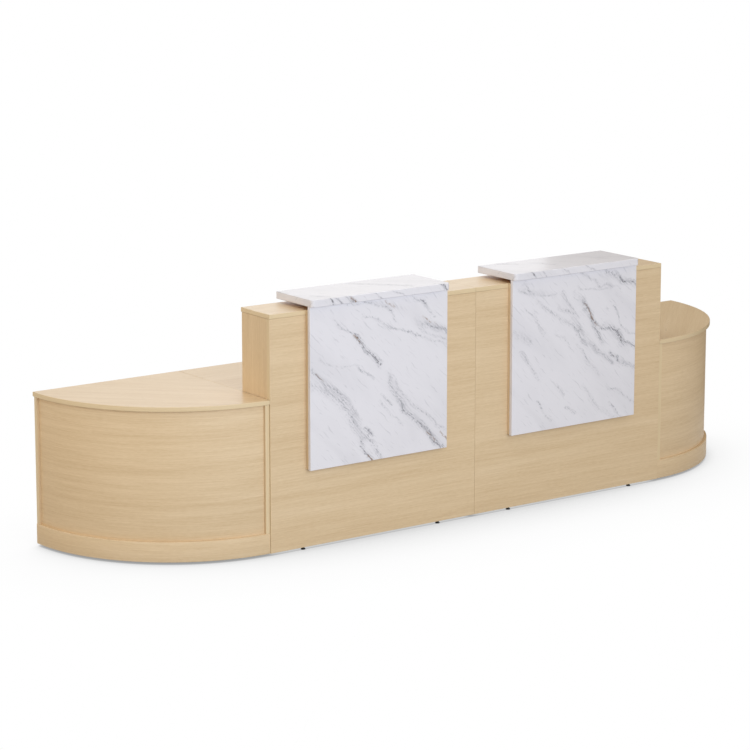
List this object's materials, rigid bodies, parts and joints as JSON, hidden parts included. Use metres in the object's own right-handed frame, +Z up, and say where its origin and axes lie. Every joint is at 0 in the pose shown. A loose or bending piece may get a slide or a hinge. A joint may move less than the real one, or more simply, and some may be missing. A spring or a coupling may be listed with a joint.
{
  "type": "reception desk",
  "caption": "Modular beech reception desk: straight counter units with raised marble-patterned counters between quarter-round end units on levelling feet.",
  "frame": {"origin": "on the floor, under the middle of the desk's bounding box", "axes": "+X along the desk to the visitors' right, +Y from the visitors to the staff, +Z up"},
  "size_m": [4, 0.858, 1.198],
  "materials": {
    "beech_board": "satin melamine with a printed beech grain",
    "batten_wood": "planed softwood",
    "marble_board": "satin laminate with a white marble pattern",
    "black_plastic": "moulded, matt",
    "steel": "zinc plated"
  },
  "bodies": {
    "desk": {"left_front_panel": "beech_board", "left_inner_end_panel": "beech_board", "left_inner_riser_side": "beech_board", "left_outer_end_panel": "beech_board", "left_outer_riser_side": "beech_board", "left_worktop": "beech_board", "left_riser_top": "beech_board", "left_counter_slab": "marble_board", "left_counter_drop": "marble_board", "left_inner_slab_batten": "batten_wood", "left_inner_drop_batten": "batten_wood", "left_outer_slab_batten": "batten_wood", "left_outer_drop_batten": "batten_wood", "left_curved_worktop": "beech_board", "left_curved_front": "beech_board", "left_plinth": "beech_board", "left_curved_side_panel": "beech_board", "left_curved_rear_panel": "beech_board", "left_curved_base": "beech_board", "right_front_panel": "beech_board", "right_inner_end_panel": "beech_board", "right_inner_riser_side": "beech_board", "right_outer_end_panel": "beech_board", "right_outer_riser_side": "beech_board", "right_worktop": "beech_board", "right_riser_top": "beech_board", "right_counter_slab": "marble_board", "right_counter_drop": "marble_board", "right_inner_slab_batten": "batten_wood", "right_inner_drop_batten": "batten_wood", "right_outer_slab_batten": "batten_wood", "right_outer_drop_batten": "batten_wood", "right_curved_worktop": "beech_board", "right_curved_front": "beech_board", "right_plinth": "beech_board", "right_curved_side_panel": "beech_board", "right_curved_rear_panel": "beech_board", "right_curved_base": "beech_board", "left_seam_bolt_front": "steel", "left_seam_bolt_rear": "steel", "middle_seam_bolt_front": "steel", "middle_seam_bolt_rear": "steel", "right_seam_bolt_front": "steel", "right_seam_bolt_rear": "steel"},
    "left_inner_front_foot": {"left_inner_front_foot": "black_plastic"},
    "left_inner_rear_foot": {"left_inner_rear_foot": "black_plastic"},
    "left_outer_front_foot": {"left_outer_front_foot": "black_plastic"},
    "left_outer_rear_foot": {"left_outer_rear_foot": "black_plastic"},
    "left_curved_back_foot": {"left_curved_back_foot": "black_plastic"},
    "left_curved_front_foot": {"left_curved_front_foot": "black_plastic"},
    "left_curved_outer_foot": {"left_curved_outer_foot": "black_plastic"},
    "right_inner_front_foot": {"right_inner_front_foot": "black_plastic"},
    "right_inner_rear_foot": {"right_inner_rear_foot": "black_plastic"},
    "right_outer_front_foot": {"right_outer_front_foot": "black_plastic"},
    "right_outer_rear_foot": {"right_outer_rear_foot": "black_plastic"},
    "right_curved_back_foot": {"right_curved_back_foot": "black_plastic"},
    "right_curved_front_foot": {"right_curved_front_foot": "black_plastic"},
    "right_curved_outer_foot": {"right_curved_outer_foot": "black_plastic"}
  },
  "joints": [
    {"name": "left_inner_front_foot_screw", "type": "slide", "parent": "desk", "child": "left_inner_front_foot", "axis": [0, 0, -1], "range_m": [0, 0.012]},
    {"name": "left_inner_rear_foot_screw", "type": "slide", "parent": "desk", "child": "left_inner_rear_foot", "axis": [0, 0, -1], "range_m": [0, 0.012]},
    {"name": "left_outer_front_foot_screw", "type": "slide", "parent": "desk", "child": "left_outer_front_foot", "axis": [0, 0, -1], "range_m": [0, 0.012]},
    {"name": "left_outer_rear_foot_screw", "type": "slide", "parent": "desk", "child": "left_outer_rear_foot", "axis": [0, 0, -1], "range_m": [0, 0.012]},
    {"name": "left_curved_back_foot_screw", "type": "slide", "parent": "desk", "child": "left_curved_back_foot", "axis": [0, 0, -1], "range_m": [0, 0.012]},
    {"name": "left_curved_front_foot_screw", "type": "slide", "parent": "desk", "child": "left_curved_front_foot", "axis": [0, 0, -1], "range_m": [0, 0.012]},
    {"name": "left_curved_outer_foot_screw", "type": "slide", "parent": "desk", "child": "left_curved_outer_foot", "axis": [0, 0, -1], "range_m": [0, 0.012]},
    {"name": "right_inner_front_foot_screw", "type": "slide", "parent": "desk", "child": "right_inner_front_foot", "axis": [0, 0, -1], "range_m": [0, 0.012]},
    {"name": "right_inner_rear_foot_screw", "type": "slide", "parent": "desk", "child": "right_inner_rear_foot", "axis": [0, 0, -1], "range_m": [0, 0.012]},
    {"name": "right_outer_front_foot_screw", "type": "slide", "parent": "desk", "child": "right_outer_front_foot", "axis": [0, 0, -1], "range_m": [0, 0.012]},
    {"name": "right_outer_rear_foot_screw", "type": "slide", "parent": "desk", "child": "right_outer_rear_foot", "axis": [0, 0, -1], "range_m": [0, 0.012]},
    {"name": "right_curved_back_foot_screw", "type": "slide", "parent": "desk", "child": "right_curved_back_foot", "axis": [0, 0, -1], "range_m": [0, 0.012]},
    {"name": "right_curved_front_foot_screw", "type": "slide", "parent": "desk", "child": "right_curved_front_foot", "axis": [0, 0, -1], "range_m": [0, 0.012]},
    {"name": "right_curved_outer_foot_screw", "type": "slide", "parent": "desk", "child": "right_curved_outer_foot", "axis": [0, 0, -1], "range_m": [0, 0.012]}
  ]
}
